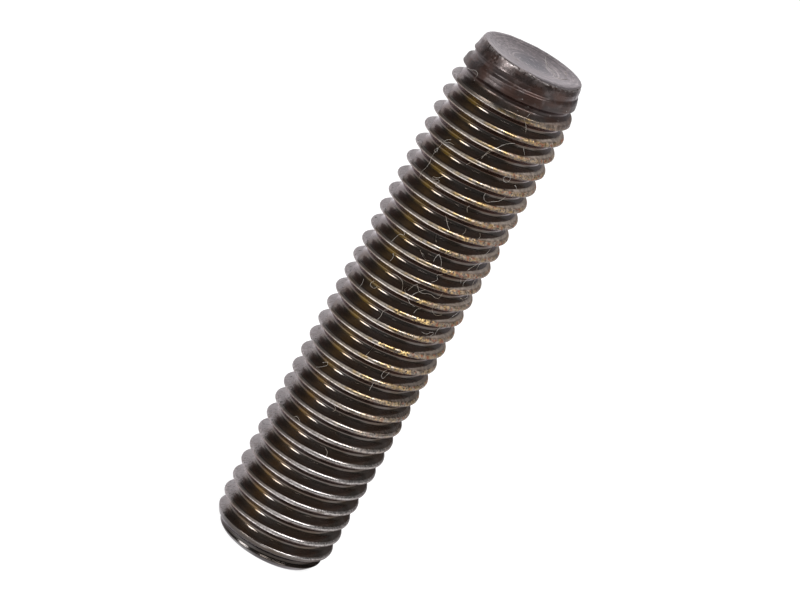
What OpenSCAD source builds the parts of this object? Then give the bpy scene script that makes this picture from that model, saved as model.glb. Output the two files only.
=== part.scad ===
// A fully threaded steel stud that stands on its lower end. The thread is right-hand and runs from
// end to end. At the upper end the crests taper into a smooth collar, so that this end wedges in its
// tapped hole. Both end faces are shallow cups, each with a narrow flat rim.
// The stud's axis is Z, and the origin is at the centre of the lower rim.

/* [Thread] */
// Pitch of the thread: 11 turns to the inch
thread_pitch = 2.309; // [1.6:0.001:3]
// Diameter over the crests
crest_dia = 15.6; // [14:0.05:20]
// Width of the flat on top of each crest
crest_flat = 0.3; // [0.1:0.01:0.45]
// Radius of the round bottom of each root
root_radius = 0.48; // [0.2:0.01:0.55]
// Angle between the two flanks of the thread
thread_angle = 60; // [52:1:60]
// Angle by which the whole thread is turned about the axis
thread_start = 278; // [0:1:360]

/* [Length] */
// Length from the lower rim to the upper rim
stud_length = 69.85; // [40:0.05:100]

/* [Upper end] */
// Outer diameter of the upper rim
upper_rim_dia = 12.85; // [11:0.05:13.5]
// Slope of the tapered lead, measured from the axis
lead_angle = 13; // [8:1:30]
// Height of the smooth collar under the upper rim
collar_height = 1.3; // [0.5:0.1:4]
// Height in which the roots under the collar sink to their full depth
upper_runout = 2; // [0.5:0.1:5]

/* [Lower end] */
// Outer diameter of the lower rim
lower_rim_dia = 12.4; // [11:0.05:13.5]
// Radius of the round edge that joins the lower rim to the crests
lower_round = 4.9; // [3:0.1:8]
// Height in which the roots above the lower rim sink to their full depth
lower_runout = 0.5; // [0.2:0.1:5]

/* [End cups] */
// Depth of the cup in each end face
cup_depth = 0.7; // [0.2:0.05:1.5]
// Width of the flat rim around each cup
rim_width = 0.4; // [0.2:0.05:1.5]

/* [Smoothness] */
// Facets in one turn of the thread
turn_facets = 28; // [16:4:32]

/* [Hidden] */

crest_r = crest_dia / 2;
upper_rim_r = upper_rim_dia / 2;
lower_rim_r = lower_rim_dia / 2;
flank = thread_angle / 2;

// One pitch of the thread, from the middle of a crest to the middle of the next one: how far up each
// point lies, and how far it lies below the crest. The round root is drawn with three points.
thread_depth = (thread_pitch - crest_flat) / 2 / tan(flank) - root_radius * (1 / sin(flank) - 1);
flank_depth = thread_depth - root_radius * (1 - sin(flank));
flank_reach = thread_pitch / 2 - root_radius * cos(flank);
PROFILE = [
    [-crest_flat / 2, 0],
    [crest_flat / 2, 0],
    [flank_reach, flank_depth],
    [thread_pitch / 2, thread_depth],
    [thread_pitch - flank_reach, flank_depth]
];
root_r = crest_r - thread_depth;

// The surface is drawn in rows that follow the helix. They start below the lower rim and stop above
// the upper one, so that every step round the turn meets both rims.
pitch_rows = len(PROFILE);
turns = ceil(stud_length / thread_pitch) + 4;
rows = turns * pitch_rows;

// Goes evenly from one radius to another while z goes from 0 to reach, and stays level outside that.
function slope(from, to, z, reach) = from + (to - from) * max(0, min(1, z / reach));

// Largest radius at height z: the two narrow ends take the crests down to the rims.
round_height = sqrt(pow(lower_round, 2) - pow(lower_round - crest_r + lower_rim_r, 2));
function outer_limit(z) = min(
    crest_r - lower_round + sqrt(pow(lower_round, 2) - pow(max(0, round_height - z), 2)),
    upper_rim_r + (stud_length - z) * tan(lead_angle)
);

// Smallest radius at height z: the roots rise to the surface at the lower rim and at the collar.
collar_r = upper_rim_r + collar_height * tan(lead_angle);
function inner_limit(z) = max(
    slope(max(lower_rim_r, root_r), root_r, z, lower_runout),
    slope(collar_r, root_r, stud_length - collar_height - z, upper_runout)
);

function height(row, step) =
    (floor(row / pitch_rows) - 2 + step / turn_facets) * thread_pitch + PROFILE[row % pitch_rows][0];

function ring_point(r, step, z) =
    let (angle = thread_start + step * 360 / turn_facets)
    [r * cos(angle), r * sin(angle), z];

function row_point(row, step) =
    let (
        z = max(0, min(stud_length, height(row, step))),
        r = crest_r - PROFILE[row % pitch_rows][1]
    )
    ring_point(min(outer_limit(z), max(inner_limit(z), r)), step, z);

// Number of the point at a row and a step. Past a rim it is the rim's own point, and a whole turn
// further round is one pitch further up.
lower_rim = rows * turn_facets;
upper_rim = lower_rim + turn_facets;
function point_number(row, step) =
    step == turn_facets ? point_number(row + pitch_rows, 0)
    : height(row, step) <= 0 ? lower_rim + step
    : height(row, step) >= stud_length ? upper_rim + step
    : row * turn_facets + step;

function has_area(face) = face[0] != face[1] && face[1] != face[2] && face[2] != face[0];

module threaded_body() {
    steps = [0 : turn_facets - 1];
    points = [
        for (row = [0 : rows - 1]) for (step = steps) row_point(row, step),
        for (step = steps) ring_point(lower_rim_r, step, 0),
        for (step = steps) ring_point(upper_rim_r, step, stud_length)
    ];
    sides = [
        for (row = [0 : rows - pitch_rows - 2])
            for (step = steps)
                let (
                    a = point_number(row, step),
                    b = point_number(row + 1, step),
                    c = point_number(row + 1, step + 1),
                    d = point_number(row, step + 1)
                )
                for (face = [[a, b, c], [a, c, d]])
                    if (has_area(face)) face
    ];
    lower_face = [for (step = steps) lower_rim + step];
    upper_face = [for (step = steps) upper_rim + turn_facets - 1 - step];
    polyhedron(points, concat(sides, [lower_face, upper_face]));
}

// A ball that cuts a cup into a face at z = 0, from above
module cup_cutter(mouth_r) {
    ball_r = (pow(mouth_r, 2) + pow(cup_depth, 2)) / (2 * cup_depth);
    translate([0, 0, ball_r - cup_depth])
        sphere(r = ball_r, $fn = 96);
}

module stud() {
    color("#3b3530")
    difference() {
        threaded_body();
        mirror([0, 0, 1])
            cup_cutter(lower_rim_r - rim_width);
        translate([0, 0, stud_length])
            cup_cutter(upper_rim_r - rim_width);
    }
}

stud();
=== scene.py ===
import math

import bmesh
import bpy
from mathutils import Matrix, Quaternion, Vector, noise


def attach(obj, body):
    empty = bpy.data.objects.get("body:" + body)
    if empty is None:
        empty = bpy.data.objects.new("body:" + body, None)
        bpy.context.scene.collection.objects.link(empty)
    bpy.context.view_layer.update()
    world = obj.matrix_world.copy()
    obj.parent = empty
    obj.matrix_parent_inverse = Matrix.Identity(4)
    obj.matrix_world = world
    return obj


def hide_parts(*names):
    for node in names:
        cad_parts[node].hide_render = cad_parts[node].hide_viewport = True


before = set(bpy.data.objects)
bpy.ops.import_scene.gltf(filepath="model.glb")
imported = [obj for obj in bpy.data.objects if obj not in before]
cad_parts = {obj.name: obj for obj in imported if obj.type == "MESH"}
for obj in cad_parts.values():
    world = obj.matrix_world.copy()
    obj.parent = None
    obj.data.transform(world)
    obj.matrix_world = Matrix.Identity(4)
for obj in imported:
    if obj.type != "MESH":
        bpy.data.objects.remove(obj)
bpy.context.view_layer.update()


# ---------------------------------------------------------------------------------------------
# Camera. A long lens on a tripod, a little above the stud, with the camera body turned so that
# the upright stud leans across the picture.
# ---------------------------------------------------------------------------------------------
mm = 0.001
picture_width = 800
focal_pixels = 3480.8
sensor_width = 36.0
camera_elevation = math.radians(18.23)
camera_distance = 419.5 * mm
camera_roll = math.radians(29.056)
nearest_seen = 10 * mm
farthest_seen = 20.0
aim_point = Vector((0.0, 0.0, 35.55 * mm))
aim_left_of_centre = 0.95
aim_below_centre = 2.02

camera_data = bpy.data.cameras.new("camera")
camera = bpy.data.objects.new("camera", camera_data)
bpy.context.scene.collection.objects.link(camera)
bpy.context.scene.camera = camera
camera_data.sensor_width = sensor_width
camera_data.lens = focal_pixels * sensor_width / picture_width
camera_data.shift_x = aim_left_of_centre / picture_width
camera_data.shift_y = aim_below_centre / picture_width
camera_data.clip_start = nearest_seen
camera_data.clip_end = farthest_seen
towards_camera = Vector((0.0, -math.cos(camera_elevation), math.sin(camera_elevation)))
camera.location = aim_point + towards_camera * camera_distance
camera.rotation_mode = "QUATERNION"
upright = (-towards_camera).to_track_quat("-Z", "Y")
camera.rotation_quaternion = upright @ Quaternion((0.0, 0.0, 1.0), camera_roll)


# ---------------------------------------------------------------------------------------------
# Studio. White paper curves up behind the stud and comes forward on the right, with its back right
# corner in shade. The room above it and on the camera's side is dim. The camera sees plain white.
# ---------------------------------------------------------------------------------------------
bpy.context.scene.view_settings.view_transform = "Standard"


def add_node(tree, kind, settings=None, **inputs):
    """Adds a shader node. An input is a number, a colour or another node's output socket."""
    node = tree.nodes.new(kind)
    for name, value in (settings or {}).items():
        setattr(node, name, value)
    for name, value in inputs.items():
        place = int(name[1:]) if name[0] == "i" and name[1:].isdigit() else name.replace("_", " ")
        socket = node.inputs[place]
        if isinstance(value, bpy.types.NodeSocket):
            tree.links.new(value, socket)
        else:
            socket.default_value = value
    return node


def scalar(tree, operation, first, second=0.0):
    """One step of arithmetic on two numbers."""
    node = add_node(tree, "ShaderNodeMath", {"operation": operation}, i0=first, i1=second)
    return node.outputs[0]


def ramp(tree, value, low, high, start=0.0, end=1.0):
    """Goes smoothly from start to end while the value goes from low to high."""
    node = add_node(tree, "ShaderNodeMapRange", {"interpolation_type": "SMOOTHSTEP"}, Value=value)
    node.inputs["From Min"].default_value = low
    node.inputs["From Max"].default_value = high
    node.inputs["To Min"].default_value = start
    node.inputs["To Max"].default_value = end
    return node.outputs[0]


def blend(tree, amount, first, second):
    """Mixes two colours, or two numbers where the first one is a number."""
    kind = "FLOAT" if isinstance(first, float) or getattr(first, "type", "") == "VALUE" else "RGBA"
    node = add_node(tree, "ShaderNodeMix", {"data_type": kind})
    pair = (2, 3) if kind == "FLOAT" else (6, 7)
    for place, value in ((0, amount), (pair[0], first), (pair[1], second)):
        if isinstance(value, bpy.types.NodeSocket):
            tree.links.new(value, node.inputs[place])
        else:
            node.inputs[place].default_value = value
    return node.outputs[0 if kind == "FLOAT" else 2]


paper_fade = 0.06
paper_edge_fade = 0.30
paper_light = 1.25
dim_paper_light = 0.30
room_light = 0.09
front_light = 0.10
backdrop_white = 1.0

world = bpy.data.worlds.new("studio")
bpy.context.scene.world = world
world.use_nodes = True
tree = world.node_tree
tree.nodes.clear()
direction = add_node(tree, "ShaderNodeTexCoord").outputs["Generated"]
to_right, to_back, to_top = add_node(tree, "ShaderNodeSeparateXYZ", Vector=direction).outputs
dim = scalar(tree, "MULTIPLY", ramp(tree, to_right, 0.02, 0.20), ramp(tree, to_back, 0.08, 0.38))
paper_top = ramp(tree, to_back, 0.10, 0.60, 0.22, 0.47)
above = ramp(tree, scalar(tree, "SUBTRACT", to_top, paper_top), 0.0, paper_fade)
paper = blend(tree, above, blend(tree, dim, paper_light, dim_paper_light), room_light)
paper_edge = ramp(tree, to_right, -0.10, 0.80, 0.36, -0.70)
behind = ramp(tree, scalar(tree, "SUBTRACT", to_back, paper_edge), 0.0, paper_edge_fade)
room = blend(tree, behind, front_light, paper)
rays = add_node(tree, "ShaderNodeLightPath").outputs
strength = blend(tree, rays["Is Camera Ray"], room, backdrop_white)
background = add_node(tree, "ShaderNodeBackground", Color=(1.0, 1.0, 1.0, 1.0), Strength=strength)
add_node(tree, "ShaderNodeOutputWorld", Surface=background.outputs[0])

floor_radius = 0.5
floor_front = -0.095
floor_shade = 0.8
floor_sides = 128
shadow_share = 0.35
floor_glow = 1.38
shape = bmesh.new()
bmesh.ops.create_circle(shape, cap_ends=True, segments=floor_sides, radius=floor_radius)
bmesh.ops.translate(shape, verts=shape.verts, vec=(0.0, floor_radius + floor_front, 0.0))
floor_mesh = bpy.data.meshes.new("floor")
shape.to_mesh(floor_mesh)
shape.free()
floor = bpy.data.objects.new("floor", floor_mesh)
bpy.context.scene.collection.objects.link(floor)

material = bpy.data.materials.new("white_paper")
material.use_nodes = True
tree = material.node_tree
tree.nodes.clear()
rays = add_node(tree, "ShaderNodeLightPath").outputs
seen = scalar(tree, "MAXIMUM", rays["Is Camera Ray"], rays["Is Glossy Ray"])
seen = scalar(tree, "MAXIMUM", seen, rays["Is Transmission Ray"])
glowing = scalar(tree, "MULTIPLY", seen, 1.0 - shadow_share)
matt = add_node(tree, "ShaderNodeBsdfDiffuse", Color=(floor_shade, floor_shade, floor_shade, 1.0))
glow = add_node(tree, "ShaderNodeEmission", Color=(1.0, 1.0, 1.0, 1.0), Strength=floor_glow)
both = add_node(tree, "ShaderNodeMixShader", i0=glowing, i1=matt.outputs[0], i2=glow.outputs[0])
add_node(tree, "ShaderNodeOutputMaterial", Surface=both.outputs[0])
floor_mesh.materials.append(material)


def add_softbox(name, azimuth, elevation, distance, width, height, radiance):
    """A flat soft lamp that points at the stud. Azimuth 0 is the camera's side, plus is right."""
    lamp_data = bpy.data.lights.new(name, "AREA")
    lamp_data.shape = "RECTANGLE"
    lamp_data.size = width
    lamp_data.size_y = height
    lamp_data.energy = radiance * math.pi * width * height
    lamp = bpy.data.objects.new(name, lamp_data)
    bpy.context.scene.collection.objects.link(lamp)
    turn = math.radians(azimuth)
    rise = math.radians(elevation)
    out = Vector((math.sin(turn) * math.cos(rise), -math.cos(turn) * math.cos(rise), math.sin(rise)))
    lamp.location = aim_point + out * distance
    lamp.rotation_mode = "QUATERNION"
    lamp.rotation_quaternion = (-out).to_track_quat("-Z", "Y")


add_softbox(
    "left_softbox", azimuth=-45, elevation=22, distance=1.0, width=0.34, height=0.50, radiance=13.0,
)
add_softbox(
    "overhead_softbox", azimuth=33, elevation=57, distance=1.0, width=0.80, height=0.30, radiance=12.0,
)


# ---------------------------------------------------------------------------------------------
# The stud: one length of steel bar with a thread rolled into it from end to end and a dark oxide
# finish. The upper crests are turned down to a taper with a smooth collar; both ends are cupped.
# ---------------------------------------------------------------------------------------------
stud_length = 69.85
pitch = 2.309
crest_r = 7.785
crest_half = 0.15
crest_lip = 0.04
crest_round_over = 0.24
crest_round_under = 0.14
root_r = 6.52
root_round = 0.94
root_segments = 10
crest_segments = 6
flank_slope = math.tan(math.radians(30))
thread_start = math.radians(278)
steps_in_turn = 72
turns = 33
flank_cuts = 5
shortest_flank = 0.3
join_distance = 0.01

# One pitch of the thread's outline, from the middle of a flank to the middle of the next.
sharp_root_r = crest_r - (pitch / 2 - crest_half) / flank_slope
middle_r = (crest_r + sharp_root_r) / 2
middle_z = crest_half + (crest_r - middle_r) * flank_slope
outline = [
    (middle_r, middle_z - pitch),
    (sharp_root_r, -pitch / 2),
    (crest_r, -crest_half - crest_lip),
    (crest_r, crest_half),
    (middle_r, middle_z),
]
shape = bmesh.new()
points = [shape.verts.new((r, 0.0, z)) for r, z in outline]
for pair in zip(points, points[1:]):
    shape.edges.new(pair)
bmesh.ops.bevel(
    shape, geom=[points[1]], affect="VERTICES", offset_type="OFFSET",
    offset=root_round, segments=root_segments, profile=0.5, material=-1,
)
crest_corners = ((crest_half, crest_round_over), (-crest_half - crest_lip, crest_round_under))
for corner_z, corner_round in crest_corners:
    corner = min(shape.verts, key=lambda p: (p.co.x - crest_r) ** 2 + (p.co.z - corner_z) ** 2)
    bmesh.ops.bevel(
        shape, geom=[corner], affect="VERTICES", offset_type="OFFSET",
        offset=corner_round, segments=crest_segments, profile=0.5, material=-1,
    )
flanks = [e for e in shape.edges if e.calc_length() > shortest_flank]
bmesh.ops.subdivide_edges(shape, edges=flanks, cuts=flank_cuts)

# The outline winds round the axis and climbs one pitch in a turn. That turn is stacked on itself.
start_turn = Matrix.Rotation(thread_start, 3, "Z")
bmesh.ops.rotate(shape, verts=shape.verts, cent=(0, 0, 0), matrix=start_turn)
bmesh.ops.translate(shape, verts=shape.verts, vec=(0.0, 0.0, -pitch))
bmesh.ops.spin(
    shape, geom=shape.verts[:] + shape.edges[:], cent=(0, 0, 0), axis=(0, 0, 1),
    dvec=(0.0, 0.0, pitch / steps_in_turn), angle=math.tau, steps=steps_in_turn, use_merge=False,
)
one_turn = shape.verts[:] + shape.edges[:] + shape.faces[:]
for turn in range(1, turns):
    copied = bmesh.ops.duplicate(shape, geom=one_turn)["geom"]
    copied_points = [g for g in copied if isinstance(g, bmesh.types.BMVert)]
    bmesh.ops.translate(shape, verts=copied_points, vec=(0.0, 0.0, turn * pitch))
bmesh.ops.remove_doubles(shape, verts=shape.verts, dist=join_distance)

# The taper runs through these points: how far below the upper rim, and the radius there.
upper_rim_r = 6.425
taper = [(0.0, upper_rim_r), (1.3, 6.725), (2.2, 7.01), (3.8, 7.295), (6.2, 7.86)]
taper_slope = 0.25
collar_height = 1.3
collar_bulge = 0.035
collar_root_r = 6.70
upper_runout = 2.0
lower_rim_r = 6.2
lower_round = 4.9
lower_runout = 0.5
round_height = math.sqrt(lower_round**2 - (lower_round - crest_r + lower_rim_r) ** 2)
rim_round = 0.12
worn_corner = 0.10


def soft_min(first, second, width):
    """The smaller of two lengths, with the corner between them rounded off."""
    overlap = max(width - abs(first - second), 0.0) / width
    return min(first, second) - overlap**2 * width / 4


def slope(start, end, height, reach):
    """Goes evenly from start to end over the first part of the height."""
    return start + (end - start) * max(0.0, min(1.0, height / reach))


def rounded_rim(height):
    """How far the rim's round edge draws in, this high below or above the end face."""
    short = max(0.0, rim_round - max(0.0, height))
    return rim_round - math.sqrt(rim_round**2 - short**2)


def largest_radius(z):
    """How far out the rounded lower edge, the taper and the collar let the steel reach."""
    below = crest_r - lower_round + math.sqrt(lower_round**2 - max(0.0, round_height - z) ** 2)
    depth = stud_length - z
    above = taper[-1][1] + (depth - taper[-1][0]) * taper_slope
    for (upper, upper_r), (lower, lower_r) in zip(taper, taper[1:]):
        if upper <= depth < lower:
            above = slope(upper_r, lower_r, depth - upper, lower - upper)
    collar_part = max(0.0, min(1.0, depth / collar_height))
    above += 4 * collar_bulge * collar_part * (1 - collar_part)
    return min(below - rounded_rim(z), above - rounded_rim(depth))


def smallest_radius(z):
    """How far in the roots go: they rise to the surface at both ends."""
    below = slope(lower_rim_r, root_r, z, lower_runout)
    above = slope(collar_root_r, root_r, stud_length - collar_height - z, upper_runout)
    return max(below, above)


# Small knocks on the crests: where round the axis, how high up, how wide, and how deep.
knocks = [
    (40.5, 22.5, 0.30, 0.16), (44.5, 22.2, 0.25, 0.12), (54.3, 13.8, 0.30, 0.14),
    (28.2, 9.2, 0.25, 0.16), (34.3, 9.4, 0.30, 0.20), (41.0, 9.4, 0.30, 0.15),
    (30.0, 8.2, 0.20, 0.10), (21.5, 14.1, 0.16, 0.10), (26.5, 11.7, 0.25, 0.12),
    (7.8, 2.1, 0.30, 0.15), (13.6, 20.5, 0.18, 0.10), (1.5, 36.0, 0.22, 0.12),
    (-150.0, 40.0, 0.35, 0.18), (130.0, 28.0, 0.30, 0.15), (175.0, 12.0, 0.30, 0.15),
]


def knocked(spot, angle, z):
    """How far the knocks push this point in."""
    pushed = 0.0
    for around, height, width, depth in knocks:
        off = math.remainder(angle - math.radians(around), math.tau) * crest_r
        away = math.hypot(off, z - height) / width
        if away < 2.5:
            pushed += depth * math.exp(-away * away) * (1 + 0.5 * noise.noise(spot * 3.0))
    return pushed


# Cuts near both ends let the rims' edges round off. Then every point moves to its own radius, and
# the crests take their knocks and a slight unevenness.
rim_cuts = (0.03, 0.07, 0.12)
unevenness = 0.018
uneven_from_r = 7.3
uneven_rise = 0.3
for height in (*rim_cuts, *(stud_length - cut for cut in reversed(rim_cuts))):
    bmesh.ops.bisect_plane(
        shape, geom=shape.verts[:] + shape.edges[:] + shape.faces[:], dist=1e-5,
        plane_co=(0, 0, height), plane_no=(0, 0, 1),
    )
for point in shape.verts:
    radius = math.hypot(point.co.x, point.co.y)
    angle = math.atan2(point.co.x, -point.co.y)
    z = max(-1.0, min(stud_length + 1.0, point.co.z))
    wanted = -soft_min(-smallest_radius(z), -radius, worn_corner)
    limit = largest_radius(z)
    wanted = limit if wanted > limit + worn_corner else soft_min(limit, wanted, worn_corner)
    if wanted > uneven_from_r:
        wanted -= knocked(point.co, angle, z)
        dip = unevenness * max(0.0, noise.noise(point.co * 1.7))
        wanted -= dip * min(1.0, (wanted - uneven_from_r) / uneven_rise)
    point.co.x *= wanted / radius
    point.co.y *= wanted / radius

# Both ends are cut square, and each face is drawn in ring by ring over its rim and down its cup.
cup_depth = 0.7
rim_width = 0.4
cup_edge = 0.08
cup_rings = (5.5, 5.1, 4.6, 4.0, 3.4, 2.8, 2.2, 1.6, 1.0, 0.4)
for height, above in ((0.0, -1), (stud_length, 1)):
    bmesh.ops.bisect_plane(
        shape, geom=shape.verts[:] + shape.edges[:] + shape.faces[:], dist=1e-5,
        plane_co=(0, 0, height), plane_no=(0, 0, above), clear_outer=True,
    )
for height, above, rim_r in ((0.0, -1, lower_rim_r), (stud_length, 1, upper_rim_r)):
    ring = [e for e in shape.edges if e.is_boundary and abs(e.verts[0].co.z - height) < 0.01]
    mouth_r = rim_r - rim_width
    ball_r = (mouth_r**2 + cup_depth**2) / (2 * cup_depth)
    for ring_r in (mouth_r + cup_edge, 0.99 * mouth_r, *cup_rings):
        depth = cup_depth - (ball_r - math.sqrt(ball_r**2 - min(mouth_r, ring_r) ** 2))
        grown = bmesh.ops.extrude_edge_only(shape, edges=ring)["geom"]
        ring = [g for g in grown if isinstance(g, bmesh.types.BMEdge)]
        for point in [g for g in grown if isinstance(g, bmesh.types.BMVert)]:
            radius = math.hypot(point.co.x, point.co.y)
            point.co.x *= ring_r / radius
            point.co.y *= ring_r / radius
            point.co.z = height - above * depth
    bmesh.ops.contextual_create(shape, geom=ring)

# The upper rim isn't true: it sags at the front left, and its corner is rolled over at the right.
rim_zone = 1.25
sag_depth = 0.14
roll_depth = 0.30
deepest_roll = 0.34
nick_depth = 0.12
wobble_depth = 0.03
for point in shape.verts:
    z = point.co.z
    if z > stud_length - rim_zone:
        radius = math.hypot(point.co.x, point.co.y)
        angle = math.degrees(math.atan2(point.co.x, -point.co.y))
        outer = max(0.0, min(1.0, (radius - 4.8) / 1.4))
        sag = sag_depth * math.exp(-(((angle + 22) / 30) ** 2))
        rolled = roll_depth * max(0.0, min(1.0, (angle - 4) / 18))
        rolled *= max(0.0, min(1.0, (82 - angle) / 25))
        rolled *= max(0.0, (radius - 5.3) / 1.0)
        nick = nick_depth * math.exp(-(((angle + 18) / 1.6) ** 2)) * max(0.0, (radius - 6.0) / 0.4)
        uneven = noise.noise(Vector((point.co.x * 0.9, point.co.y * 0.9, 3.0)))
        wobble = wobble_depth * max(0.0, 0.5 + uneven)
        drop = sag * outer + min(deepest_roll, rolled) + nick + wobble * outer
        share = (z - (stud_length - rim_zone)) / rim_zone
        point.co.z = z - drop * share
bmesh.ops.recalc_face_normals(shape, faces=shape.faces)
bmesh.ops.scale(shape, vec=(mm, mm, mm), verts=shape.verts)
for face in shape.faces:
    face.smooth = True
stud_mesh = bpy.data.meshes.new("threaded_stud")
shape.to_mesh(stud_mesh)
shape.free()
stud = bpy.data.objects.new("threaded_stud", stud_mesh)
bpy.context.scene.collection.objects.link(stud)

# Dark oxide on steel. The crests are rubbed bright, rust and yellowed oil lie in the grooves, and pale
# dust clings to both edges of the stud. Some shade and reflections are painted into the colour. The
# lengths in the material are in mm.
material = bpy.data.materials.new("dark_oxide_steel")
material.use_nodes = True
tree = material.node_tree
shader = tree.nodes["Principled BSDF"]


def spot_in_mm(tree):
    """Where a point of the piece lies, in mm."""
    place = add_node(tree, "ShaderNodeTexCoord").outputs["Object"]
    node = add_node(tree, "ShaderNodeVectorMath", {"operation": "SCALE"}, i0=place, Scale=1 / mm)
    return node.outputs[0]


def cloud(tree, place, size, detail=2.0, roughness=0.5):
    """Smooth noise with features about this many millimetres across."""
    node = add_node(
        tree, "ShaderNodeTexNoise", Vector=place, Scale=1.0 / size, Detail=detail, Roughness=roughness,
    )
    return node.outputs["Fac"]


def streaks(tree, detail, *directions):
    """Noise that is drawn out. Each direction is a coordinate and how closely it is packed there."""
    place = add_node(tree, "ShaderNodeCombineXYZ")
    for (coordinate, packing), socket in zip(directions, place.inputs):
        tree.links.new(scalar(tree, "MULTIPLY", coordinate, packing), socket)
    node = add_node(tree, "ShaderNodeTexNoise", Vector=place.outputs[0], Scale=1.0, Detail=detail)
    return node.outputs["Fac"]


def product(tree, *factors):
    """All the factors multiplied together."""
    total = factors[0]
    for factor in factors[1:]:
        total = scalar(tree, "MULTIPLY", total, factor)
    return total


# Where a point lies: its place, its distance from the axis, its angle round the axis from the front,
# how far to the right it is (-1 to 1), and how much its surface faces up.
spot = spot_in_mm(tree)
across, back, height = add_node(tree, "ShaderNodeSeparateXYZ", Vector=spot).outputs
flat_spot = add_node(tree, "ShaderNodeCombineXYZ", X=across, Y=back).outputs[0]
radius = add_node(tree, "ShaderNodeVectorMath", {"operation": "LENGTH"}, i0=flat_spot).outputs["Value"]
around = scalar(tree, "ARCTAN2", across, scalar(tree, "MULTIPLY", back, -1.0))
sideways = scalar(tree, "DIVIDE", across, radius)
facing = add_node(tree, "ShaderNodeNewGeometry").outputs["Normal"]
uphill = add_node(tree, "ShaderNodeSeparateXYZ", Vector=facing).outputs[2]
patches = cloud(tree, spot, 2.6, 3.0)
blotches = cloud(tree, spot, 1.1)
grain = cloud(tree, spot, 0.24, 2.0, 0.6)
flecks = cloud(tree, spot, 0.42, 2.0, 0.6)

# Masks: 1 where the feature is.
worn_down = product(tree, ramp(tree, sideways, -0.2, 0.5), ramp(tree, uphill, 0.1, 0.4))
worn_to = blend(tree, worn_down, 7.56, 7.43)
on_crest = ramp(tree, scalar(tree, "SUBTRACT", radius, worn_to), 0.0, 0.14)
on_edge = ramp(tree, radius, 7.30, 7.55)
under = ramp(tree, uphill, -0.35, -0.05, 1.0, 0.0)
on_face = product(tree, ramp(tree, height, 69.0, 69.1), ramp(tree, uphill, 0.80, 0.93))
below_taper = ramp(tree, height, 64.0, 66.0, 1.0, 0.0)
in_root = product(tree, ramp(tree, radius, 6.75, 7.15, 1.0, 0.0), below_taper)
off_the_ends = product(tree, ramp(tree, height, 2.4, 4.4), below_taper)
upper_two_thirds = ramp(tree, height, 15.0, 30.0)
upper_end = ramp(tree, height, 64.4, 66.0)
lower_third = ramp(tree, height, 22.0, 32.0, 1.0, 0.0)
right = product(tree, ramp(tree, around, 0.05, 0.85), ramp(tree, around, 2.2, 2.8, 1.0, 0.0))
front_left = product(
    tree, ramp(tree, around, -1.00, -0.62), ramp(tree, around, -0.58, -0.28, 1.0, 0.0),
)
painted_shade_strip = product(
    tree, ramp(tree, around, -1.08, -0.85), ramp(tree, around, -0.85, -0.55, 1.0, 0.0),
)

# The oxide, with rust on the undersides and yellowed oil in the grooves at the front left, where a warm
# reflection is painted in as well.
oxide_thin = (0.120, 0.104, 0.094, 1.0)
oxide_brown = (0.100, 0.076, 0.058, 1.0)
oxide_dark = (0.030, 0.025, 0.022, 1.0)
tint = blend(tree, ramp(tree, patches, 0.35, 0.65), oxide_thin, oxide_brown)

red_rust = (0.150, 0.055, 0.030, 1.0)
rusty = product(
    tree, under, right, ramp(tree, blotches, 0.40, 0.62), ramp(tree, radius, 7.45, 7.6, 1.0, 0.0),
)
tint = blend(tree, rusty, tint, red_rust)

deep_rust = (0.085, 0.036, 0.020, 1.0)
pale_rust = (0.15, 0.070, 0.045, 1.0)
under_tint = blend(tree, ramp(tree, radius, 7.25, 7.55), deep_rust, pale_rust)
under_amount = product(tree, under, ramp(tree, height, 2.4, 4.4), 0.75)
tint = blend(tree, under_amount, tint, under_tint)
# The lowest few millimetres go darker towards the end.
tint = blend(tree, ramp(tree, height, 1.6, 2.6, 0.8, 0.0), tint, oxide_dark)
# Painted shade: the downward-facing groove sides in the lower third are darkened.
painted_groove_shade = product(
    tree, lower_third, ramp(tree, radius, 6.9, 7.3, 1.0, 0.0),
    ramp(tree, uphill, -0.30, 0.0, 1.0, 0.0), 0.55,
)
tint = blend(tree, painted_groove_shade, tint, oxide_dark)

# Painted reflection: the amber in the grooves at the front left is yellowed oil with a painted warm
# reflection.
upper_oil_painted_reflection = (0.185, 0.108, 0.010, 1.0)
lower_oil_painted_reflection = (0.150, 0.078, 0.008, 1.0)
oil_painted_reflection = blend(tree, lower_third, upper_oil_painted_reflection, lower_oil_painted_reflection)
oil_painted_reflection_amount = product(
    tree, front_left, off_the_ends, ramp(tree, radius, 7.3, 7.6, 1.0, 0.0),
    ramp(tree, uphill, 0.30, 0.75, 1.0, 0.20),
    ramp(tree, cloud(tree, spot, 2.2), 0.34, 0.60, 0.60, 1.0),
)
tint = blend(tree, oil_painted_reflection_amount, tint, oil_painted_reflection)
# Painted shade: a darker strip on the flanks and roots left of the front.
painted_shade_amount = product(tree, painted_shade_strip, ramp(tree, radius, 7.4, 7.6, 1.0, 0.0), 0.55)
tint = blend(tree, painted_shade_amount, tint, oxide_dark)
tint = blend(tree, product(tree, ramp(tree, flecks, 0.66, 0.74), 0.8), tint, oxide_dark)
unrubbed = product(tree, on_crest, ramp(tree, sideways, -0.75, -0.45), 0.6)
tint = blend(tree, unrubbed, tint, oxide_dark)

# The rub on the crests: golden higher up, paler at the left, and grey in the lowest third.
rubbed_grey = (1.0, 0.94, 0.93, 1.0)
rubbed_tan = (0.88, 0.76, 0.64, 1.0)
rubbed_yellow = (1.0, 0.68, 0.26, 1.0)
rubbed_pale = (1.0, 0.93, 0.82, 1.0)
rubbed_gold = blend(tree, ramp(tree, blotches, 0.42, 0.62), rubbed_tan, rubbed_yellow)
rubbed_gold = blend(tree, ramp(tree, sideways, -0.30, -0.05, 0.8, 0.0), rubbed_gold, rubbed_pale)
golden = product(tree, upper_two_thirds, ramp(tree, uphill, -0.25, 0.10, 0.4, 1.0))
rubbed = blend(tree, golden, rubbed_grey, rubbed_gold)

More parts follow.
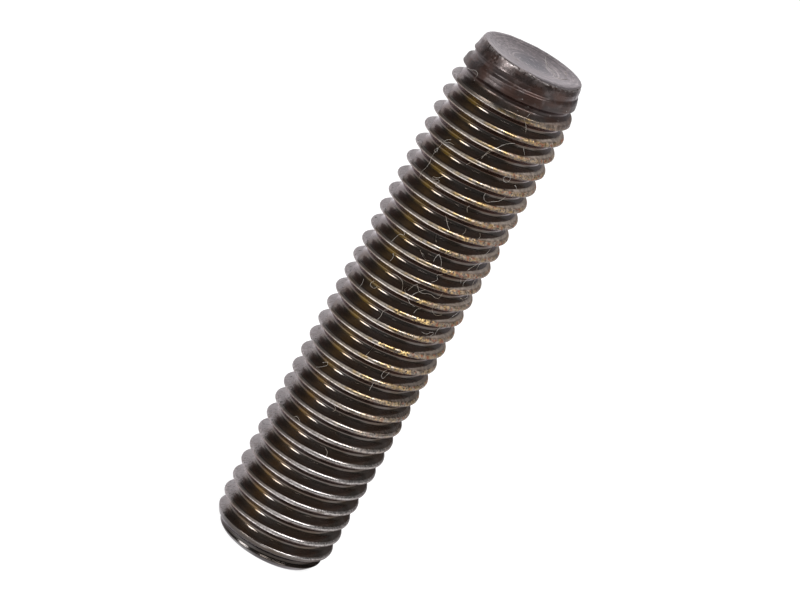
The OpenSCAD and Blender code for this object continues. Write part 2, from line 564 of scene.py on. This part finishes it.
# How strong the rub is on a crest's lower corner, along its middle and on its upper corner.
rub_under = product(
    tree, ramp(tree, sideways, 0.0, 0.20, 1.4, 0.10), blend(tree, lower_third, 1.0, 0.5),
)
left_limit = ramp(tree, uphill, -0.55, -0.20)
left_limit = blend(tree, ramp(tree, sideways, -0.35, -0.10), left_limit, 1.0)
rub_under = product(tree, rub_under, left_limit)
rub_middle = ramp(tree, sideways, -0.40, -0.10, 1.0, 0.07)
rub_middle = blend(tree, product(tree, lower_third, 0.5), rub_middle, 0.35)
rub_over = ramp(tree, sideways, -0.35, -0.02, 0.03, 0.34)
rub = blend(tree, ramp(tree, uphill, -0.14, -0.04), rub_under, rub_middle)
rub = blend(tree, ramp(tree, uphill, 0.02, 0.13), rub, rub_over)
rub = product(
    tree, rub, on_crest, ramp(tree, sideways, -0.72, -0.34, 0.12, 1.0),
    ramp(tree, grain, 0.32, 0.62, 0.50, 1.25),
)
tint = blend(tree, rub, tint, rubbed)

# Dust: brown and tan on the right of the crests, greyer on the flanks, and along the left edge grey dust
# with a painted reflection of the white paper.
brown_dust = (0.14, 0.100, 0.074, 1.0)
tan_dust = (0.33, 0.255, 0.195, 1.0)
lower_flank_dust = (0.27, 0.245, 0.255, 1.0)
upper_flank_dust = (0.38, 0.32, 0.275, 1.0)
grey_dust_and_reflection = (0.44, 0.40, 0.415, 1.0)
dust_to = ramp(tree, sideways, 0.42, 0.95, 7.50, 7.00)
dust_place = product(
    tree, ramp(tree, sideways, 0.15, 0.75), ramp(tree, uphill, 0.0, 0.35, 0.45, 1.0),
    ramp(tree, scalar(tree, "SUBTRACT", radius, dust_to), -0.10, 0.12),
    ramp(tree, height, 14.0, 42.0, 0.10, 1.0),
)
patchy_flank = ramp(tree, flecks, 0.35, 0.65, 0.50, 0.85)
patchy_edge = ramp(tree, flecks, 0.40, 0.60, 0.15, 1.0)
dust = product(tree, dust_place, blend(tree, on_edge, patchy_flank, patchy_edge))
dust_tint = blend(tree, ramp(tree, cloud(tree, spot, 0.7), 0.40, 0.60), brown_dust, tan_dust)
flank_dust = blend(tree, upper_two_thirds, lower_flank_dust, upper_flank_dust)
dust_tint = blend(tree, ramp(tree, radius, 7.25, 7.50, 1.0, 0.0), dust_tint, flank_dust)
tint = blend(tree, dust, tint, dust_tint)
# Along the left edge the pale grey is dust with a painted reflection of the white paper.
left_reach = ramp(tree, across, -6.60, -6.95)
left_reach = blend(tree, lower_third, left_reach, ramp(tree, across, -5.70, -7.00))
left_dust_and_reflection = product(
    tree, left_reach, ramp(tree, uphill, -0.45, -0.15), ramp(tree, flecks, 0.38, 0.60, 0.30, 0.85),
)
tint = blend(tree, left_dust_and_reflection, tint, grey_dust_and_reflection)

# Specks on the right of the upper crests, and a scuffed patch at half height.
speck_gold = (0.50, 0.30, 0.09, 1.0)
speck_rust = (0.23, 0.085, 0.042, 1.0)
speck_dark = (0.05, 0.04, 0.03, 1.0)
speck_place = product(tree, on_crest, right, upper_two_thirds)
gold_specks = product(
    tree, speck_place, ramp(tree, grain, 0.55, 0.60), ramp(tree, sideways, 0.60, 0.85, 0.8, 0.0),
)
tint = blend(tree, gold_specks, tint, speck_gold)
rust_specks = product(tree, speck_place, ramp(tree, cloud(tree, spot, 0.6), 0.56, 0.63))
tint = blend(tree, rust_specks, tint, speck_rust)
dark_specks = product(tree, speck_place, ramp(tree, grain, 0.44, 0.37))
tint = blend(tree, dark_specks, tint, speck_dark)
scuff_dark = (0.05, 0.03, 0.018, 1.0)
scuff_bright = (0.98, 0.70, 0.30, 1.0)
scuffed = product(
    tree, on_crest, ramp(tree, cloud(tree, spot, 1.9), 0.55, 0.61),
    ramp(tree, sideways, -0.15, 0.05), ramp(tree, sideways, 0.50, 0.72, 1.0, 0.0),
    ramp(tree, height, 24.0, 30.0), ramp(tree, height, 46.0, 52.0, 1.0, 0.0),
)
scuff_tint = blend(tree, ramp(tree, grain, 0.46, 0.54), scuff_dark, scuff_bright)
tint = blend(tree, product(tree, scuffed, 0.8), tint, scuff_tint)

# The taper and collar are brown-black and smudged.
collar_black = (0.034, 0.024, 0.023, 1.0)
collar_brown = (0.056, 0.027, 0.021, 1.0)
smudge_grey = (0.12, 0.098, 0.094, 1.0)
collar_tint = blend(tree, ramp(tree, patches, 0.40, 0.60), collar_black, collar_brown)
smudged = product(tree, ramp(tree, cloud(tree, spot, 0.8, 4.0, 0.65), 0.50, 0.66), 0.55)
collar_tint = blend(tree, smudged, collar_tint, smudge_grey)
tint = blend(tree, product(tree, upper_end, 0.85), tint, collar_tint)

# The upper face is grey, with a painted dark reflection in the middle of its cup, turned arcs and a
# rubbed rim.
dark_reflection_centre = (0.1, 0.7, 0.0)
cup_dark_reflection = (0.033, 0.037, 0.052, 1.0)
cup_grey = (0.25, 0.215, 0.22, 1.0)
grain_dark = (0.10, 0.09, 0.10, 1.0)
grain_pale = (0.48, 0.42, 0.41, 1.0)
arc_dark = (0.08, 0.07, 0.075, 1.0)
arc_pale = (0.52, 0.46, 0.45, 1.0)
rim_pale = (0.62, 0.57, 0.56, 1.0)
cup_spot = add_node(
    tree, "ShaderNodeVectorMath", {"operation": "SUBTRACT"}, i0=flat_spot, i1=dark_reflection_centre,
).outputs[0]
off_centre = add_node(tree, "ShaderNodeVectorMath", {"operation": "LENGTH"}, i0=cup_spot).outputs["Value"]
face_tint = blend(tree, ramp(tree, off_centre, 0.6, 3.6), cup_dark_reflection, cup_grey)
face_grain = cloud(tree, spot, 0.55, 4.0, 0.7)
face_tint = blend(tree, ramp(tree, face_grain, 0.40, 0.60, 0.55, 0.0), face_tint, grain_dark)
face_tint = blend(tree, ramp(tree, face_grain, 0.56, 0.70, 0.0, 0.6), face_tint, grain_pale)
arcs = streaks(tree, 3.0, (radius, 3.5), (around, 0.7))
face_tint = blend(tree, ramp(tree, arcs, 0.36, 0.50, 0.45, 0.0), face_tint, arc_dark)
face_tint = blend(tree, ramp(tree, arcs, 0.56, 0.68, 0.0, 0.60), face_tint, arc_pale)
tint = blend(tree, on_face, tint, face_tint)
rim_rub = product(
    tree, ramp(tree, radius, 6.20, 6.35), ramp(tree, radius, 6.48, 6.60, 1.0, 0.0),
    ramp(tree, height, 69.25, 69.45), ramp(tree, flecks, 0.42, 0.62, 0.02, 0.30),
)
tint = blend(tree, rim_rub, tint, rim_pale)

# Pits at the far left, and grains of white dust there on the upper end.
white_grains = (0.66, 0.64, 0.62, 1.0)
pits = product(tree, ramp(tree, flecks, 0.60, 0.66), ramp(tree, sideways, -0.76, -0.86), 0.85)
tint = blend(tree, pits, tint, oxide_dark)
dots = add_node(tree, "ShaderNodeTexVoronoi", Vector=spot, Scale=1.1).outputs["Distance"]
dots = product(tree, ramp(tree, dots, 0.06, 0.11, 1.0, 0.0), ramp(tree, patches, 0.47, 0.55))
white_dust = product(
    tree, dots, upper_end, ramp(tree, sideways, -0.85, -0.75), ramp(tree, grain, 0.42, 0.56, 0.1, 0.8),
)
tint = blend(tree, white_dust, tint, white_grains)
tree.links.new(tint, shader.inputs["Base Color"])

# Dust and rust specks aren't metal at all, and oil and rust only partly.
oxide_metal = 0.92
loose = scalar(tree, "MAXIMUM", dust, rust_specks)
for layer in (left_dust_and_reflection, white_dust):
    loose = scalar(tree, "MAXIMUM", loose, layer)
covered = product(tree, under, 0.38)
for layer, share in ((oil_painted_reflection_amount, 0.45), (in_root, 0.12), (upper_end, 0.33)):
    covered = scalar(tree, "MAXIMUM", covered, product(tree, layer, share))
metal = product(
    tree, scalar(tree, "SUBTRACT", 1.0, loose), scalar(tree, "SUBTRACT", 1.0, covered), oxide_metal,
)
tree.links.new(metal, shader.inputs["Metallic"])

# A film of oil wets the roots left of the middle and, thinly, the upper end.
oil_roughness = 0.12
oily_root = product(
    tree, in_root, ramp(tree, sideways, -0.75, -0.45), ramp(tree, sideways, -0.25, 0.0, 1.0, 0.0), 0.8,
)
wet = scalar(tree, "MAXIMUM", oily_root, product(tree, upper_end, 0.1))
tree.links.new(wet, shader.inputs["Coat Weight"])
shader.inputs["Coat Roughness"].default_value = oil_roughness
# Painted shade: the edge reflections are dimmed low down on the right.
plain_sheen = (1.0, 0.94, 1.0, 1.0)
painted_shade_sheen = (0.35, 0.32, 0.33, 1.0)
shaded_low_right = product(tree, ramp(tree, height, 22.0, 36.0, 1.0, 0.0), ramp(tree, sideways, 0.70, 0.85))
tree.links.new(blend(tree, shaded_low_right, plain_sheen, painted_shade_sheen), shader.inputs["Specular Tint"])

# How smooth each part is.
groove_rough = 0.13
crest_rough = 0.22
dull_rough = 0.44
collar_rough = 0.42
dust_rough = 0.75
face_rough = 0.38
rough = blend(tree, on_crest, groove_rough, crest_rough)
rough = scalar(tree, "ADD", rough, product(tree, ramp(tree, patches, 0.4, 0.7), 0.07))
dull = product(
    tree, on_crest, ramp(tree, sideways, -0.25, 0.28, 1.0, 0.0), ramp(tree, uphill, 0.0, 0.12),
)
rough = blend(tree, dull, rough, dull_rough)
upper_end_rough = ramp(tree, cloud(tree, spot, 0.6, 3.0, 0.6), 0.38, 0.62, 0.20, 0.42)
rough = blend(tree, upper_end, rough, upper_end_rough)
below_collar = product(tree, upper_end, ramp(tree, height, 68.2, 68.6, 0.7, 0.0))
rough = blend(tree, below_collar, rough, collar_rough)
rough = blend(tree, loose, rough, dust_rough)
rough = blend(tree, on_face, rough, face_rough)
tree.links.new(rough, shader.inputs["Roughness"])

# The rolls left fine rings on the flanks, and the lathe left coarser ones on the taper.
ring_height = 0.006
grain_height = 0.006
scuff_height = 0.10
rings = streaks(tree, 2.0, (radius, 9.0), (around, 0.8), (height, 0.4))
turned = streaks(tree, 1.0, (height, 4.2), (around, 0.25))
turned_height = ramp(tree, height, 68.4, 68.8, 0.035, 0.004)
dust_height = blend(tree, on_edge, 0.02, 0.08)
relief = scalar(tree, "ADD", product(tree, rings, ring_height), product(tree, grain, grain_height))
relief = scalar(tree, "ADD", relief, product(tree, turned, upper_end, turned_height))
relief = scalar(tree, "ADD", relief, product(tree, loose, flecks, dust_height))
relief = scalar(tree, "ADD", relief, product(tree, scuffed, grain, scuff_height))
bump = add_node(tree, "ShaderNodeBump", Strength=1.0, Distance=mm, Height=relief)
tree.links.new(bump.outputs[0], shader.inputs["Normal"])
stud_mesh.materials.append(material)

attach(stud, "root")
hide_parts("stud")


# ---------------------------------------------------------------------------------------------
# Lint: fine pale cotton fibres from a wiping rag. They are hair-thin. They lie caught on the crests,
# bridge the grooves, and a few lie on the upper end face.
# ---------------------------------------------------------------------------------------------
fibre_r = 0.016
fibre_path_r = 7.79
lint_front = 7.77
face_gap = 0.01
weld_distance = 0.0005
upper_cup_r = upper_rim_r - rim_width

# Each fibre runs through points given as degrees round the axis, from the front, and height in mm.
fibres = [
    [(-30, 58.3), (-34, 57.9), (-36, 57.2), (-38, 56.1), (-39, 55.2), (-38, 54.4), (-39, 53.6),
     (-41, 52.9), (-40, 52.2)],
    [(-39, 56.5), (-37, 56.3), (-38, 55.9), (-40, 56), (-38, 56.4)],
    [(-25, 58), (-30, 57.9), (-34, 57.6), (-38, 57.6), (-40, 57.2)],
    [(21, 61.8), (14, 61.2), (9, 60.3), (2, 58.7), (-1, 58.1), (-5, 57.2), (-7, 56.8)],
    [(30, 61.7), (32, 61.4), (35, 60.9)],
    [(20, 65.8), (19, 65.2)],
    [(18, 64.9), (23, 64.1), (25, 63.5)],
    [(28, 58.2), (32, 58), (34, 57.2), (30, 57), (28, 57.5), (31, 57.7), (35, 57.7)],
    [(20, 54.8), (20, 54.4), (24, 53.9), (30, 54.2), (36, 54.6), (39, 55.2), (40, 55.8)],
    [(13, 52.6), (12, 52.3), (14, 51.8)],
    [(-19, 54.4), (-23, 53.6), (-28, 53.2), (-21, 53.4), (-22, 52.7), (-17, 52.7)],
    [(-55, 66.2), (-48, 66.4), (-43, 66.7), (-39, 66.6), (-39, 66.1)],
    [(42, 57), (46, 56.5), (44, 56.1)],
    [(6, 60.1), (3, 59.1), (2, 58.3)],
    [(56, 49.4), (55, 48.2), (53, 47.5), (49, 46.1), (43, 45.1), (40, 44.1), (43, 43.2)],
    [(47, 35.6), (46, 36.5), (50, 37.6), (54, 38.5), (60, 39.3), (62, 40.1), (57, 41), (51, 41.4)],
    [(32, 35.8), (38, 35.8), (40, 36.1), (44, 36), (42, 35.6), (46, 35.5)],
    [(-33, 43.8), (-32, 44.3), (-29, 45.2), (-25, 45.5), (-27, 45.8)],
    [(-40, 37.9), (-39, 37.4), (-40, 36.6)],
    [(-29, 38.6), (-31, 38), (-28, 37.8), (-25, 37.9), (-24, 38.3)],
    [(7, 41), (12, 40.4), (21, 40.7), (29, 40.5), (31, 41.3)],
    [(0, 40.2), (-1, 39.8), (6, 39.5), (9, 40.1), (15, 41)],
    [(10, 45.7), (15, 45), (17, 44.4)],
    [(16, 42.1), (20, 42.7), (18, 43.2), (22, 43.5)],
    [(-1, 50.2), (4, 49.4), (8, 48.9)],
    [(-5, 36.6), (-8, 36.2), (-8, 35.5), (-9, 34.9)],
    [(20, 29.8), (18, 29.3), (20, 28.6), (22, 29), (23, 29.6)],
    [(15, 27.6), (15, 27), (15, 26.5)],
    [(0, 32.3), (-1, 31.2), (-3, 30.1)],
    [(-17, 40.7), (-12, 40.8), (-6, 40.5), (-2, 39.3)],
    [(5, 39), (9, 38.6), (14, 38.5)],
    [(34, 40), (29, 39.3), (36, 38.4), (42, 38.7)],
    [(-35, 26.3), (-30, 26.7), (-34, 25.8), (-39, 25.3)],
    [(-25, 41.8), (-24, 42.4), (-26, 42.8)],
    [(-4, 44.8), (0, 44.6), (2, 44.2)],
    [(6, 25.9), (8, 25.6), (13, 25.4)],
    [(-34, 18.5), (-31, 18.8), (-25, 18.4)],
    [(6, 17.4), (9, 17.1), (10, 16.6)],
    [(-6, 22.8), (-3, 22.4), (-4, 22)],
    [(24, 18.7), (29, 18.8), (31, 18.5)],
    [(53, 46.4), (52, 45.7), (53, 45)],
    [(50, 44.1), (47, 43.7), (46, 43.2), (49, 42.6)],
    [(58, 44), (58, 43.4), (60, 42.6)],
    [(64, 43.6), (66, 42.9), (71, 42.2)],
    [(66, 41.6), (70, 41), (67, 40.6), (59, 40.7)],
    [(52, 41.2), (58, 41.2), (61, 41.5), (58, 41.9)],
    [(2, 39.9), (4, 40.7), (7, 41.2)],
    [(20, 49.9), (21, 49.5), (20, 49.1)],
    [(34, 50), (36, 49.6), (36, 49.2)],
    [(0, 47.6), (1, 47.2), (3, 46.8)],
    [(-6, 45), (-2, 44.6), (2, 44.3), (6, 44.4)],
    [(10, 45.6), (9, 45.1), (9, 44.5)],
    [(16, 37.7), (17, 38.3), (20, 38.6)],
]

# These lie on the upper face, and run through points given as x and y in mm.
face_fibres = [
    [(1.3, 5.9), (1.1, 4.8), (1.5, 3.2), (1.9, 1.5)],
    [(1.2, 3.9), (2.6, 1.6), (3.6, -0.3), (4.65, 0.6)],
    [(-2.4, -1.9), (-1.9, -1.7), (-1.5, -1.9)],
    [(3.9, 3.0), (4.3, 2.2), (4.2, 1.4)],
]
lint_curve = bpy.data.curves.new("lint_path", "CURVE")
lint_curve.dimensions = "3D"
lint_curve.bevel_depth = fibre_r * mm
lint_curve.bevel_resolution = 0
lint_curve.resolution_u = 4
lint_curve.use_fill_caps = True


def on_thread(degrees, z):
    """A fibre's point against the crests."""
    turn = math.radians(degrees)
    return (fibre_path_r * math.sin(turn), -fibre_path_r * math.cos(turn), z)


def on_upper_face(x, y):
    """A fibre's point just above the upper cup."""
    cup = cup_depth * max(0.0, 1.0 - math.hypot(x, y) ** 2 / upper_cup_r**2)
    return (x, y, stud_length - cup + face_gap)


def add_fibre(bends):
    """Draws a smooth path through these points."""
    spline = lint_curve.splines.new("BEZIER")
    spline.bezier_points.add(len(bends) - 1)
    for bend, place in zip(spline.bezier_points, bends):
        bend.co = [length * mm for length in place]
        bend.handle_left_type = "AUTO"
        bend.handle_right_type = "AUTO"


for fibre in fibres:
    add_fibre([on_thread(degrees, z) for degrees, z in fibre])
for fibre in face_fibres:
    add_fibre([on_upper_face(x, y) for x, y in fibre])
lint_path = bpy.data.objects.new("lint_path", lint_curve)
lint_mesh = bpy.data.meshes.new_from_object(lint_path)
bpy.data.objects.remove(lint_path)
shape = bmesh.new()
shape.from_mesh(lint_mesh)
bmesh.ops.remove_doubles(shape, verts=shape.verts, dist=weld_distance * mm)
for point in shape.verts:
    point.co.y = max(point.co.y, -lint_front * mm)
    point.co.z = min(point.co.z, stud_length * mm)
bmesh.ops.recalc_face_normals(shape, faces=shape.faces)
shape.to_mesh(lint_mesh)
shape.free()
lint = bpy.data.objects.new("lint_fibres", lint_mesh)
bpy.context.scene.collection.objects.link(lint)

material = bpy.data.materials.new("cotton_lint")
material.use_nodes = True
tree = material.node_tree
shader = tree.nodes["Principled BSDF"]
soiled_cotton = (0.26, 0.21, 0.155, 1.0)
clean_cotton = (0.52, 0.49, 0.46, 1.0)
soiled = ramp(tree, cloud(tree, spot_in_mm(tree), 1.5), 0.35, 0.65)
tint = blend(tree, soiled, soiled_cotton, clean_cotton)
tree.links.new(tint, shader.inputs["Base Color"])
shader.inputs["Roughness"].default_value = 0.8
shader.inputs["Sheen Weight"].default_value = 0.3
lint_mesh.materials.clear()
lint_mesh.materials.append(material)
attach(lint, "root")
